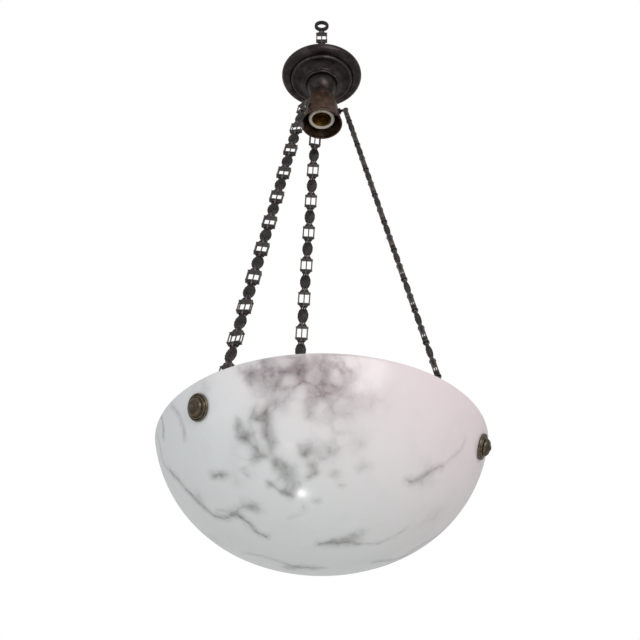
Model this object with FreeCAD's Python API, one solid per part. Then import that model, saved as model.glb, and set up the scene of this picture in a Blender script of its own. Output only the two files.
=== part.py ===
import FreeCAD, Part
import math
import os

Vec = FreeCAD.Vector
X_AXIS = Vec(1, 0, 0)
Y_AXIS = Vec(0, 1, 0)
Z_AXIS = Vec(0, 0, 1)

# Alabaster bowl pendant, in millimetres. +Z is up. The origin is the centre of the bore of the
# ceiling eye, from which everything hangs along the Z axis. The camera side is -Y.

# --- driving dimensions -----------------------------------------------------------------------
# Chain: open lantern links and solid leaf links in turn, both broad along Y and flat along X
link_pitch = 25.75              # from one joint to the next, one link
wire_r = 1.3                    # round section of every link's end ring
wire_gap = 0.3                  # air between two rings that hook together
ring_r = 3.0                    # end ring of a lantern link, to the middle of its wire
eyelet_r = 3.0                  # end ring of a leaf link, to the middle of its wire
lantern_half_width = 8.6        # shoulder plate
lantern_half_depth = 3.5
lantern_shoulder_z = 8.4        # top of the shoulder plate, above the middle of the link
lantern_plate_h = 0.8
lantern_roof_half_width = 8.2   # hollow roof over the plate, at its foot
lantern_roof_half_depth = 3.3
lantern_mouth_z = 12.4          # open top of the roof, where the next ring goes in
lantern_mouth_half_width = 5.2
lantern_low_mouth_z = 9.9       # the same where the next ring lies across the link
lantern_wall = 0.9
lantern_bar_r = 0.85
lantern_bar_x = 2.5             # corner bars stand here, and one bar in the middle
lantern_bar_y = 7.4
leaf_half_width = 7.5
leaf_half_depth = 4.0
leaf_end_z = 9.5                # body of the leaf ends here, at the eyelet
leaf_end_half_width = 4.7
leaf_end_half_depth = 1.8
# Hanging chains twist a little: each link may turn this far past the one above, in degrees
twist_in = 15.0                 # near the lug
twist_out = 6.0                 # near the bowl
twist_most = {"left": 45.0, "right": 0.0, "far": -15.0}

# Ceiling eye, the piece that goes on the ceiling hook
eye_bore_r = 7.0
eye_outer_r = 11.0
eye_thickness = 5.0
top_joint_z = -15.05            # first joint of the top chain, below the bore's centre
top_links = 4

# Canopy (ceiling cup)
canopy_rim_z = -113.0
canopy_r = 59.0
canopy_wall = 1.5
canopy_hole_r = 10.5
canopy_seat_gap = 0.3           # loose cup, just clear of the cover that it rests on

# Lampholder cover with its three chain lugs
cover_top_z = -158.0
cover_h = 59.6
cover_mouth_r = 29.3
cover_wall = 1.4
stem_r = 5.0                    # M10 stem
stem_clear = 0.1
lug_joint_r = 35.5              # where the three chains start, from the lamp's axis
lug_joint_z = -200.6

lug_foot_r = 4.4
lug_eye_neck_r = 1.5
lug_stud_length = 8.4

# Lampholder (E27)
holder_face_z = -210.0
holder_r = 18.8
lip_hole_r = 13.9
lamp_bore_r = 13.3              # inside of the screw shell, at the lamp's thread
lamp_bore_top_z = -191.0        # above it the shell is narrower and holds the contact
shell_neck_r = 12.95
shell_flange_r = 8.4            # hole in the flange that lies against the insert
shell_wall = 0.4
shell_lift = 2.0                # lower end of the shell, above the holder's face
insert_r = 15.5
insert_top_z = -176.0
insert_bottom_z = -186.0
insert_wire_hole_y = 8.5
sleeve_spigot = 3.6             # length of the sleeve inside the cap
terminal_places = (5.0, -10.6)  # x of the screws of the centre contact and of the shell
terminal_hole_r = 1.4
dome_top_z = -163.2
dome_neck_r = 8.0
dome_neck_h = 4.8
set_screw_drop = 2.4            # below the top of the cap

# Bowl
bowl_rim_z = -748.7
bowl_depth = 136.6
bowl_bottom_arc_r = 233.0       # outside, near the bottom
bowl_side_arc_r = 155.0         # outside, from there up to the rim
bowl_arc_join_deg = 28.8        # where the two arcs meet, from straight down
bowl_wall = 9.0
bowl_lip_round = 2.2
bolt_drop = 28.0                # bolt holes below the rim, on the outside
bolt_hole_r = 3.2

# Bolts through the bowl; t runs along the bolt, outwards, from the outside of the wall
bolt_r = 2.5
bolt_eye_t = -24.0
bolt_eye_r = 4.5
bolt_eye_wire_r = 1.5
bolt_play = 1.2                 # end link's wire sits this far above the eye's centre
rosette_r = 14.9
rosette_hollow_r = 13.2         # recess behind the rosette, over its felt washer
knob_r = 9.6                    # domed cap nut on the rosette
outer_felt_r = 12.6
inner_washer_r = 9.0
inner_felt = 1.4                # felt at the middle of the inner washer
inner_disc = 1.2
bolt_nut_h = 3.6
end_ring_r = 3.9                # lower ring of the end link

# Directions of the three chains, in degrees from +X, seen from above
chain_turn = {"left": -134.5, "right": -15.6, "far": 104.9}

# --- dimensions that follow from those ----------------------------------------------------------
half_hook = wire_r + wire_gap / 2.0             # two hooked rings overlap by this each side of a joint
hook_z = link_pitch / 2.0 + half_hook           # outer end of a link's ring, from its middle
lug_arm_z = lug_joint_z - half_hook + eyelet_r
sleeve_top_z = insert_bottom_z + 4.7
set_screw_z = dome_top_z - set_screw_drop


# --- small helpers ------------------------------------------------------------------------------
def point(x, z):
    return Vec(x, 0, z)


def line(a, b):
    return Part.LineSegment(a, b).toShape()


def arc(a, mid, b):
    return Part.Arc(a, mid, b).toShape()


def arc_about(centre, radius, from_deg, to_deg):
    """Arc in the XZ plane; angles are measured from straight down towards +X."""
    spots = []
    for deg in (from_deg, (from_deg + to_deg) / 2.0, to_deg):
        turn = math.radians(deg)
        spots.append(point(centre.x + radius * math.sin(turn), centre.z - radius * math.cos(turn)))
    return arc(*spots)


def polyline(points):
    return [line(a, b) for a, b in zip(points, points[1:])]


def spun(edges):
    """Solid of revolution about Z from a closed outline in the XZ plane."""
    face = Part.Face(Part.Wire(Part.sortEdges(edges)[0]))
    return face.revolve(Vec(0, 0, 0), Z_AXIS, 360)


def spun_points(points):
    return spun(polyline(points + [points[0]]))


def hexagon(across_flats, height, bore_r, base):
    corner = across_flats / math.sqrt(3.0)
    corners = []
    for i in range(7):
        turn = math.radians(60 * i + 30)
        corners.append(base + Vec(corner * math.cos(turn), corner * math.sin(turn), 0))
    prism = Part.Face(Part.makePolygon(corners)).extrude(Vec(0, 0, height))
    return prism.cut(Part.makeCylinder(bore_r, height, base))


def fused(first, *others):
    return first.multiFuse(list(others)).removeSplitter()


def placed(shape, placement):
    moved = shape.copy()
    moved.Placement = placement.multiply(moved.Placement)
    return moved


def turned(shape, degrees):
    return placed(shape, FreeCAD.Placement(Vec(0, 0, 0), FreeCAD.Rotation(Z_AXIS, degrees)))


def save(name, *solids):
    shape = solids[0] if len(solids) == 1 else Part.makeCompound(list(solids))
    for solid in shape.Solids:
        if not solid.isValid():
            raise ValueError(name + " has a faulty solid")
    shape.exportStep("parts/" + name + ".step")
    print(name, len(shape.Solids), "solids", round(shape.Volume / 1000.0, 2), "cm3")


# --- chain links --------------------------------------------------------------------------------
# A link's own axis is Z and its middle is the origin. Its joints are half a pitch above and below.
def prism_along_x(corners, half_depth):
    """Corners are (y, z); the solid reaches half_depth to each side of the YZ plane."""
    spots = [Vec(-half_depth, y, z) for y, z in corners]
    return Part.Face(Part.makePolygon(spots + [spots[0]])).extrude(Vec(2.0 * half_depth, 0, 0))


def lantern_half(ring_axis, mouth_z):
    """Upper half of a lantern link: ring, hollow roof with an open mouth, and shoulder plate."""
    foot_z = lantern_shoulder_z - lantern_plate_h / 2.0
    ring = Part.makeTorus(ring_r, wire_r, Vec(0, 0, hook_z - ring_r), ring_axis)
    ring = ring.cut(Part.makeBox(20, 20, 10, Vec(-10, -10, foot_z - 10)))
    slope = (lantern_roof_half_width - lantern_mouth_half_width) / (lantern_mouth_z - lantern_shoulder_z)
    foot_y = lantern_roof_half_width
    mouth_y = foot_y - slope * (mouth_z - lantern_shoulder_z)
    roof = prism_along_x([(foot_y, foot_z), (mouth_y, mouth_z), (-mouth_y, mouth_z), (-foot_y, foot_z)],
                         lantern_roof_half_depth)
    foot_y -= lantern_wall
    mouth_y -= lantern_wall
    hollow = prism_along_x([(foot_y, foot_z), (mouth_y, mouth_z), (-mouth_y, mouth_z), (-foot_y, foot_z)],
                           lantern_roof_half_depth - lantern_wall)
    plate = Part.makeBox(2.0 * lantern_half_depth, 2.0 * lantern_half_width, lantern_plate_h,
                         Vec(-lantern_half_depth, -lantern_half_width, lantern_shoulder_z - lantern_plate_h))
    return ring, roof.cut(hollow), plate


def lantern_link(top_ring_axis, top_mouth_z):
    upper = lantern_half(top_ring_axis, top_mouth_z)
    lower = [piece.mirror(Vec(0, 0, 0), Z_AXIS) for piece in lantern_half(Y_AXIS, lantern_mouth_z)]
    bar_h = 2.0 * lantern_shoulder_z - lantern_plate_h
    places = [(0, 0)]
    places += [(x, y) for x in (-lantern_bar_x, lantern_bar_x) for y in (-lantern_bar_y, lantern_bar_y)]
    bars = [Part.makeCylinder(lantern_bar_r, bar_h, Vec(x, y, -bar_h / 2.0)) for x, y in places]
    return fused(*upper, *lower, *bars)


def leaf_link():
    """Flat oval link; its broad face looks along X."""
    side = [arc(point(leaf_end_half_width, -leaf_end_z), point(leaf_half_width, 0),
                point(leaf_end_half_width, leaf_end_z))]
    ends = polyline([point(leaf_end_half_width, leaf_end_z), point(0, leaf_end_z),
                     point(0, -leaf_end_z), point(leaf_end_half_width, -leaf_end_z)])
    pod = spun(side + ends)
    front = arc(point(leaf_end_half_depth, -leaf_end_z), point(leaf_half_depth, 0),
                point(leaf_end_half_depth, leaf_end_z))
    back = arc(point(-leaf_end_half_depth, leaf_end_z), point(-leaf_half_depth, 0),
               point(-leaf_end_half_depth, -leaf_end_z))
    caps = [line(point(leaf_end_half_depth, leaf_end_z), point(-leaf_end_half_depth, leaf_end_z)),
            line(point(-leaf_end_half_depth, -leaf_end_z), point(leaf_end_half_depth, -leaf_end_z))]
    lens = Part.Face(Part.Wire(Part.sortEdges([front, back] + caps)[0]))
    lens.translate(Vec(0, -10, 0))
    body = pod.common(lens.extrude(Vec(0, 20, 0)))
    eyelets = [Part.makeTorus(eyelet_r, wire_r, Vec(0, 0, way * (hook_z - eyelet_r)), X_AXIS)
               for way in (1, -1)]
    return fused(body, *eyelets)


def end_link(length):
    """Two rings at right angles; the joint with the last leaf is the origin, and +Z is up."""
    upper = Part.makeTorus(ring_r, wire_r, Vec(0, 0, half_hook - ring_r), Y_AXIS)
    lower = Part.makeTorus(end_ring_r, wire_r, Vec(0, 0, end_ring_r - length), X_AXIS)
    upper_low = half_hook - 2.0 * ring_r
    lower_high = 2.0 * end_ring_r - length
    collar_base = Vec(0, 0, lower_high - wire_r / 2.0)
    collar = Part.makeCylinder(1.7 * wire_r, upper_low - lower_high + wire_r, collar_base)
    return fused(upper, lower, collar)


# --- bowl ---------------------------------------------------------------------------------------
def bowl_centres():
    """Centres of the bottom arc and of the side arc, in the XZ plane."""
    bottom = point(0, bowl_rim_z - bowl_depth + bowl_bottom_arc_r)
    turn = math.radians(bowl_arc_join_deg)
    step = bowl_bottom_arc_r - bowl_side_arc_r
    return bottom, point(step * math.sin(turn), bottom.z - step * math.cos(turn))


def bowl_outline(inset):
    """Arcs from the bottom to the rim, moved inwards by inset, and where they reach the rim."""
    bottom, side = bowl_centres()
    bottom_r = bowl_bottom_arc_r - inset
    side_r = bowl_side_arc_r - inset
    rim_deg = 180.0 - math.degrees(math.acos((bowl_rim_z - side.z) / side_r))
    edges = [arc_about(bottom, bottom_r, 0, bowl_arc_join_deg),
             arc_about(side, side_r, bowl_arc_join_deg, rim_deg)]
    return edges, point(0, bottom.z - bottom_r), point(side.x + side_r * math.sin(math.radians(rim_deg)),
                                                      bowl_rim_z)


def bowl_body():
    outer, outer_low, outer_rim = bowl_outline(0)
    inner, inner_low, inner_rim = bowl_outline(bowl_wall)
    shell = spun(outer + inner + [line(outer_low, inner_low), line(outer_rim, inner_rim)])
    lips = [edge for edge in shell.Edges
            if abs(edge.BoundBox.ZMin - bowl_rim_z) < 0.01 and edge.Length > 900.0]
    return shell.makeFillet(bowl_lip_round, lips)


def solid_to(inset):
    """Everything inside the bowl's surface, down from the rim."""
    edges, low, rim = bowl_outline(inset)
    return spun(edges + [line(rim, point(0, bowl_rim_z)), line(point(0, bowl_rim_z), low)])


def bolt_frame(turn_deg):
    """Placement whose +X points outwards along a bolt, from the outside of the wall."""
    side = bowl_centres()[1]
    rise = side.z - (bowl_rim_z - bolt_drop)
    tilt = math.degrees(math.asin(rise / bowl_side_arc_r))
    spot = point(side.x + bowl_side_arc_r * math.cos(math.radians(tilt)), bowl_rim_z - bolt_drop)
    level = FreeCAD.Placement(spot, FreeCAD.Rotation(Y_AXIS, tilt))
    about = FreeCAD.Placement(Vec(0, 0, 0), FreeCAD.Rotation(Z_AXIS, turn_deg))
    return about.multiply(level)


def along_bolt(radius, start_t, end_t, bore=0.0):
    rod = Part.makeCylinder(radius, end_t - start_t, Vec(start_t, 0, 0), X_AXIS)
    if bore:
        rod = rod.cut(Part.makeCylinder(bore, end_t - start_t, Vec(start_t, 0, 0), X_AXIS))
    return rod


def spun_along_bolt(points):
    """Points are (t, radius); the solid is turned about the bolt's axis."""
    shape = spun_points([point(radius, t) for t, radius in points])
    return placed(shape, FreeCAD.Placement(Vec(0, 0, 0), FreeCAD.Rotation(Y_AXIS, 90)))


def eye_bolt():
    eye = Part.makeTorus(bolt_eye_r, bolt_eye_wire_r, Vec(bolt_eye_t, 0, 0), Y_AXIS)
    neck_t = bolt_eye_t + bolt_eye_r + bolt_eye_wire_r / 2.0
    return fused(eye, along_bolt(bolt_r, neck_t, 7.6))


def rosette():
    """Turned disc with two raised rings, hollow behind over its washer."""
    bore = bolt_r + stem_clear
    hollow = rosette_hollow_r
    return spun_along_bolt([(-0.2, hollow), (-0.2, 14.3), (0.6, rosette_r), (1.6, rosette_r), (2.5, 14.1),
                            (2.4, 13.1), (2.1, 12.8), (2.6, 12.4), (3.6, 11.6), (3.5, 10.9), (3.0, 10.4),
                            (3.7, 9.9), (3.7, bore), (0.8, bore), (0.8, hollow)])


def knob_nut():
    """Blind domed nut that holds the rosette, with a small button in its middle."""
    bore = bolt_r + stem_clear
    return spun_along_bolt([(3.8, bore), (3.8, 9.0), (4.4, knob_r), (5.4, knob_r), (6.8, 8.9), (8.2, 7.2),
                            (9.1, 5.0), (9.4, 3.0), (10.1, 2.5), (10.6, 1.4), (10.7, 0), (8.0, 0),
                            (8.0, bore)])


# --- canopy, stem and cover -----------------------------------------------------------------------
def canopy():
    z = canopy_rim_z
    neck_z = cover_top_z + canopy_seat_gap
    outside = [
        line(point(canopy_r, z), point(canopy_r, z - 3.2)),
        arc(point(canopy_r, z - 3.2), point(55.8, z - 8.0), point(50.0, z - 9.6)),
        arc(point(50.0, z - 9.6), point(47.6, z - 9.4), point(46.2, z - 8.4)),
        line(point(46.2, z - 8.4), point(45.6, z - 8.6)),
        arc(point(45.6, z - 8.6), point(44.6, z - 11.6), point(41.6, z - 12.2)),
        line(point(41.6, z - 12.2), point(41.0, z - 11.6)),
        arc(point(41.0, z - 11.6), point(33.4, z - 13.8), point(27.2, z - 19.0)),
        line(point(27.2, z - 19.0), point(26.4, z - 19.0)),
        arc(point(26.4, z - 19.0), point(25.6, z - 21.0), point(23.4, z - 21.6)),
        line(point(23.4, z - 21.6), point(22.0, z - 21.2)),
        arc(point(22.0, z - 21.2), point(19.9, z - 32.0), point(13.4, z - 40.4)),
        line(point(13.4, z - 40.4), point(13.4, neck_z)),
    ]
    inside = [
        line(point(13.4, neck_z), point(canopy_hole_r, neck_z)),
        line(point(canopy_hole_r, neck_z), point(canopy_hole_r, z - 39.6)),
        arc(point(canopy_hole_r, z - 39.6), point(17.6, z - 31.4), point(20.2, z - 19.6)),
        line(point(20.2, z - 19.6), point(24.6, z - 18.8)),
        arc(point(24.6, z - 18.8), point(32.6, z - 12.2), point(40.6, z - 9.8)),
        line(point(40.6, z - 9.8), point(44.2, z - 6.6)),
        line(point(44.2, z - 6.6), point(50.0, z - 7.8)),
        arc(point(50.0, z - 7.8), point(55.0, z - 6.4), point(canopy_r - canopy_wall, z - 2.6)),
        line(point(canopy_r - canopy_wall, z - 2.6), point(canopy_r - canopy_wall, z)),
        line(point(canopy_r - canopy_wall, z), point(canopy_r, z)),
    ]
    return spun(outside + inside)


def loop_stem():
    """Eye that takes the top chain, on a hollow M10 stem; the flex leaves by the cross hole."""
    joint_z = top_joint_z - top_links * link_pitch
    ring_z = joint_z + half_hook - ring_r
    eye = Part.makeTorus(ring_r, wire_r, Vec(0, 0, ring_z), X_AXIS)
    neck_z = ring_z - ring_r - 0.4
    collar_z = cover_top_z + 4.6
    thread_end_z = cover_top_z - 13.0
    body = spun_points([point(0, neck_z), point(2.2, neck_z), point(2.6, neck_z - 2.0),
                        point(stem_r, neck_z - 5.0), point(stem_r, collar_z), point(9.0, collar_z),
                        point(9.0, cover_top_z), point(stem_r, cover_top_z),
                        point(stem_r, thread_end_z), point(0, thread_end_z)])
    stem = fused(eye, body)
    cross_z = neck_z - 10.0
    stem = stem.cut(Part.makeCylinder(2.8, cross_z - thread_end_z, Vec(0, 0, thread_end_z)))
    return stem.cut(Part.makeCylinder(2.4, 2.0 * stem_r, Vec(0, -stem_r, cross_z), Y_AXIS))


def cover_outline(inset):
    """Bell outline from the shoulder down to the mouth, moved inwards by inset."""
    z = cover_top_z
    shoulder = arc(point(11.0 - inset / 2.0, z - inset), point(16.9 - inset, z - 5.4 - inset / 2.0),
                   point(20.4 - inset, z - 12.0))
    flank = arc(point(20.4 - inset, z - 12.0), point(25.2 - inset, z - 36.0),
                point(cover_mouth_r - inset, z - cover_h))
    return [shoulder, flank]


def cover_solid():
    """The cover as if it were filled, for trimming what sits against it."""
    z = cover_top_z
    return spun(cover_outline(0) + [line(point(11.0, z), point(0, z)),
                                    line(point(0, z), point(0, z - cover_h)),
                                    line(point(0, z - cover_h), point(cover_mouth_r, z - cover_h))])


def lampholder_cover():
    z = cover_top_z
    hole = stem_r + stem_clear
    top_in = z - cover_wall
    mouth_z = z - cover_h
    edges = cover_outline(0) + cover_outline(cover_wall)
    edges += [line(point(11.0, z), point(hole, z)), line(point(hole, z), point(hole, top_in)),
              line(point(hole, top_in), point(11.0 - cover_wall / 2.0, top_in)),
              line(point(cover_mouth_r, mouth_z), point(cover_mouth_r - cover_wall, mouth_z))]
    bead = Part.makeTorus(cover_mouth_r - cover_wall / 2.0, 1.1, Vec(0, 0, mouth_z))
    bell = fused(spun(edges), bead)
    for turn in chain_turn.values():
        hole_shape = Part.makeCylinder(2.6, 20, Vec(20, 0, lug_arm_z), X_AXIS)
        bell = bell.cut(turned(hole_shape, turn))
    return bell


def chain_lug(turn):
    """Cast eye on a threaded stud; its foot is shaped to the flank of the cover."""
    eye = Part.makeTorus(eyelet_r, wire_r, Vec(lug_joint_r, 0, lug_arm_z), Y_AXIS)
    arm_start = lug_joint_r - 8.5
    arm_end = lug_joint_r - eyelet_r - wire_r / 2.0
    foot_start = arm_start - 2.4
    stud_start = foot_start - 5.0
    arm = Part.makeCone(2.0 * lug_eye_neck_r, lug_eye_neck_r, arm_end - arm_start,
                        Vec(arm_start, 0, lug_arm_z), X_AXIS)
    foot = Part.makeCylinder(lug_foot_r, 3.6, Vec(foot_start, 0, lug_arm_z), X_AXIS)
    stud = Part.makeCylinder(bolt_r, lug_stud_length, Vec(stud_start, 0, lug_arm_z), X_AXIS)
    return turned(fused(eye, arm, foot.cut(cover_solid()), stud), turn)


def lug_nut(turn):
    nut = hexagon(8.0, 3.0, bolt_r + stem_clear, Vec(0, 0, 0))
    nut_start = lug_joint_r - 15.1
    flat = FreeCAD.Placement(Vec(nut_start, 0, lug_arm_z), FreeCAD.Rotation(Y_AXIS, 90))
    return turned(placed(nut, flat), turn)


# --- lampholder -----------------------------------------------------------------------------------
def holder_dome():
    """Pressed cap of the holder, threaded on the stem, with a hole for its set screw."""
    bore = stem_r + stem_clear
    z = dome_top_z
    neck_z = z - dome_neck_h
    dome = spun_points([point(bore, z), point(dome_neck_r, z), point(dome_neck_r, neck_z),
                        point(13.5, z - 6.4), point(17.0, z - 9.2), point(holder_r, z - 13.2),
                        point(holder_r, sleeve_top_z), point(17.1, sleeve_top_z),
                        point(17.1, z - 13.0), point(15.7, z - 9.8), point(12.8, z - 7.6),
                        point(bore, z - 6.4)])
    hole = Part.makeCylinder(1.6, 6.0, Vec(4.0, 0, set_screw_z), X_AXIS)
    return dome.cut(hole)


def porcelain_sleeve():
    """Glazed sleeve: spigot in the cap, ledge under the insert, rounded lip at the lamp's mouth."""
    spigot_top = sleeve_top_z + sleeve_spigot
    edges = polyline([point(15.8, spigot_top), point(16.9, spigot_top), point(16.9, sleeve_top_z - 0.2),
                      point(holder_r, sleeve_top_z - 0.2), point(holder_r, holder_face_z + 2.6)])
    edges.append(arc(point(holder_r, holder_face_z + 2.6), point(18.1, holder_face_z + 0.7),
                     point(16.4, holder_face_z)))
    edges.append(arc(point(16.4, holder_face_z), point(14.6, holder_face_z + 0.6),
                     point(lip_hole_r, holder_face_z + 2.4)))
    edges += polyline([point(lip_hole_r, holder_face_z + 2.4), point(lip_hole_r, holder_face_z + 4.4),
                       point(14.5, holder_face_z + 4.4), point(14.5, insert_bottom_z - 0.2),
                       point(15.8, insert_bottom_z - 0.2), point(15.8, spigot_top)])
    return spun(edges)


def terminal_insert():
    disc = Part.makeCylinder(insert_r, insert_top_z - insert_bottom_z, Vec(0, 0, insert_bottom_z))
    for x in terminal_places:
        disc = disc.cut(Part.makeCylinder(terminal_hole_r, 12, Vec(x, 0, insert_bottom_z - 1)))
    for y in (-insert_wire_hole_y, insert_wire_hole_y):
        disc = disc.cut(Part.makeCylinder(2.0, 12, Vec(0, y, insert_bottom_z - 1)))
    return disc


def screw_shell():
    """Thin brass shell for the lamp's thread; its narrower top ends in a flange under the insert."""
    low = holder_face_z + shell_lift
    z = lamp_bore_top_z
    top = insert_bottom_z
    flange_z = top - 0.5
    shell = spun_points([point(lamp_bore_r + shell_wall, low), point(lamp_bore_r + shell_wall, z + 0.1),
                         point(shell_neck_r + shell_wall, z + 0.7), point(shell_neck_r + shell_wall, top),
                         point(shell_flange_r, top), point(shell_flange_r, flange_z),
                         point(shell_neck_r, flange_z), point(shell_neck_r, z + 0.6),
                         point(lamp_bore_r, z), point(lamp_bore_r, low)])
    return shell.cut(Part.makeCylinder(terminal_hole_r, 2, Vec(terminal_places[1], 0, top - 1)))


def centre_contact():
    """Sprung brass tongue under the insert; its free end meets the lamp's tip."""
    z = insert_bottom_z
    outline = [point(7.6, z), point(7.6, z - 0.5), point(2.4, z - 0.5), point(-3.4, z - 4.6),
               point(-6.2, z - 3.7), point(-6.2, z - 3.1), point(-3.3, z - 4.0), point(2.2, z)]
    face = Part.Face(Part.makePolygon(outline + [outline[0]]))
    face.translate(Vec(0, -2.5, 0))
    strip = face.extrude(Vec(0, 5.0, 0))
    return strip.cut(Part.makeCylinder(terminal_hole_r, 2, Vec(terminal_places[0], 0, z - 1)))


def terminal_block(x):
    """Brass block on the insert, with a hole for its screw and a cross hole for the wire."""
    width, height = (5.0, 4.2) if x > 0 else (4.6, 3.0)
    block = Part.makeBox(width, 5.4, height, Vec(x - width / 2.0, -2.7, insert_top_z))
    block = block.cut(Part.makeCylinder(1.25, height, Vec(x, 0, insert_top_z)))
    return block.cut(Part.makeCylinder(0.45, 6, Vec(x + 1.8, -3, insert_top_z + 1.5), Y_AXIS))


def terminal_screw(x):
    """Screw up through the insert into its terminal block."""
    seat = insert_bottom_z - 0.5
    head = Part.makeCylinder(2.1, 1.2, Vec(x, 0, seat - 1.2))
    shank = Part.makeCylinder(1.2, insert_top_z - seat + 2.2, Vec(x, 0, seat))
    slot = Part.makeBox(5, 0.6, 0.6, Vec(x - 2.5, -0.3, seat - 1.2))
    return fused(head, shank).cut(slot)


def set_screw():
    return Part.makeCylinder(1.5, 3.6, Vec(stem_r + stem_clear, 0, set_screw_z), X_AXIS)


# --- ceiling eye ------------------------------------------------------------------------------------
def ceiling_eye():
    half = eye_thickness / 2.0
    ring = Part.makeCylinder(eye_outer_r, eye_thickness, Vec(0, -half, 0), Y_AXIS)
    ring = ring.cut(Part.makeCylinder(eye_bore_r, eye_thickness, Vec(0, -half, 0), Y_AXIS))
    outer_edges = [edge for edge in ring.Edges
                   if edge.BoundBox.ZMax > eye_outer_r - 0.1 and edge.BoundBox.YLength < 0.1]
    ring = ring.makeFillet(1.4, outer_edges)
    eyelet_z = top_joint_z - half_hook + eyelet_r
    eyelet = Part.makeTorus(eyelet_r, wire_r, Vec(0, 0, eyelet_z), Y_AXIS)
    neck_top = -eye_bore_r - 1.0
    neck_low = eyelet_z + eyelet_r - 0.4
    neck = Part.makeCone(2.2, 1.6, neck_top - neck_low, Vec(0, 0, neck_top), Vec(0, 0, -1))
    return fused(ring, neck, eyelet)


# --- assembly ---------------------------------------------------------------------------------------
def chain_route():
    """Start joint, unit direction, tilt from vertical and end-link length, in the XZ plane."""
    start = point(lug_joint_r, lug_joint_z)
    eye = bolt_frame(0).multVec(Vec(bolt_eye_t, 0, 0))
    run = eye.sub(start)
    direction = Vec(run).normalize()
    tilt = math.degrees(math.atan2(direction.x, -direction.z))
    links = int((run.Length - 10.0) / link_pitch)
    return start, direction, tilt, links, run.Length - bolt_play - links * link_pitch


def build_top_chain():
    names = ["top_lantern_link_upper", "top_leaf_link_upper",
             "top_lantern_link_lower", "top_leaf_link_lower"]
    for i, name in enumerate(names):
        mouth_z = lantern_low_mouth_z if i == 0 else lantern_mouth_z
        link = lantern_link(Y_AXIS, mouth_z) if i % 2 == 0 else leaf_link()
        middle = Vec(0, 0, top_joint_z - (i + 0.5) * link_pitch)
        save(name, placed(link, FreeCAD.Placement(middle, FreeCAD.Rotation(Z_AXIS, 90))))


def build_chain(side, turn):
    start, direction, tilt, links, end_length = chain_route()
    about = FreeCAD.Placement(Vec(0, 0, 0), FreeCAD.Rotation(Z_AXIS, turn))
    lean = FreeCAD.Rotation(Y_AXIS, -tilt)

    def at(distance, twist=0.0):
        lying = FreeCAD.Placement(start + direction * distance, lean)
        own_turn = FreeCAD.Placement(Vec(0, 0, 0), FreeCAD.Rotation(Z_AXIS, twist))
        return about.multiply(lying).multiply(own_turn)

    lanterns = []
    leaves = []
    for i in range(1, links):
        twist = min(twist_in * i, abs(twist_most[side]), twist_out * (links - i))
        spot = at((i + 0.5) * link_pitch, math.copysign(twist, twist_most[side]))
        if i % 2 == 0:
            lanterns.append(placed(lantern_link(Y_AXIS, lantern_mouth_z), spot))
        else:
            leaves.append(placed(leaf_link(), spot))
    save(side + "_chain_top_link", placed(lantern_link(X_AXIS, lantern_low_mouth_z), at(0.5 * link_pitch)))
    save(side + "_chain_lantern_links", *lanterns)
    save(side + "_chain_leaf_links", *leaves)
    save(side + "_chain_end_link", placed(end_link(end_length), at(links * link_pitch)))
    return links, end_length, tilt


def build_bolts():
    outside = solid_to(0)
    inside = solid_to(bowl_wall)
    outer_washers = []
    inner_washers = []
    inner_discs = []
    nuts = []
    knobs = []
    disc_t = -bowl_wall - inner_felt
    nut_t = disc_t - inner_disc
    for side, turn in chain_turn.items():
        frame = bolt_frame(turn)
        save(side + "_eye_bolt", placed(eye_bolt(), frame))
        save(side + "_rosette", placed(rosette(), frame))
        knobs.append(placed(knob_nut(), frame))
        felt = placed(along_bolt(outer_felt_r, -2.0, 0.7, bolt_hole_r), frame)
        outer_washers.append(felt.cut(outside))
        felt = placed(along_bolt(inner_washer_r, disc_t, 1.0 - bowl_wall, bolt_hole_r), frame)
        inner_washers.append(felt.common(inside))
        disc = along_bolt(inner_washer_r, nut_t, disc_t, bolt_r + stem_clear)
        inner_discs.append(placed(disc, frame))
        nut = hexagon(8.0, bolt_nut_h, bolt_r + stem_clear, Vec(0, 0, 0))
        lie = FreeCAD.Placement(Vec(nut_t - bolt_nut_h, 0, 0), FreeCAD.Rotation(Y_AXIS, 90))
        nuts.append(placed(placed(nut, lie), frame))
    save("outer_felt_washers", *outer_washers)
    save("inner_felt_washers", *inner_washers)
    save("inner_disc_washers", *inner_discs)
    save("eye_bolt_nuts", *nuts)
    save("rosette_knob_nuts", *knobs)


def build_bowl():
    bowl = bowl_body()
    for turn in chain_turn.values():
        bowl = bowl.cut(placed(along_bolt(bolt_hole_r, -20.0, 10.0), bolt_frame(turn)))
    save("alabaster_bowl", bowl)


def build_holder():
    save("holder_dome", holder_dome())
    save("holder_set_screw", set_screw())
    save("porcelain_sleeve", porcelain_sleeve())
    save("terminal_insert", terminal_insert())
    save("screw_shell", screw_shell())
    save("centre_contact", centre_contact())
    save("terminal_blocks", *[terminal_block(x) for x in terminal_places])
    save("terminal_screws", *[terminal_screw(x) for x in terminal_places])


def build_cover():
    save("lampholder_cover", lampholder_cover())
    nut_base = Vec(0, 0, cover_top_z - cover_wall - 3.2)
    save("cover_lock_nut", hexagon(14.0, 3.0, stem_r + stem_clear, nut_base))
    for side, turn in chain_turn.items():
        save(side + "_chain_lug", chain_lug(turn))
    save("lug_nuts", *[lug_nut(turn) for turn in chain_turn.values()])


os.makedirs("parts", exist_ok=True)
save("ceiling_eye", ceiling_eye())
build_top_chain()
save("loop_stem", loop_stem())
save("canopy", canopy())
build_cover()
build_holder()
for side_name, side_turn in chain_turn.items():
    facts = build_chain(side_name, side_turn)
    print("links", facts[0], "end link", round(facts[1], 2), "tilt", round(facts[2], 3))
build_bowl()
build_bolts()
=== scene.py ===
import math

import bmesh
import bpy
import numpy as np
from mathutils import Matrix, Vector, noise
from mathutils.bvhtree import BVHTree


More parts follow.
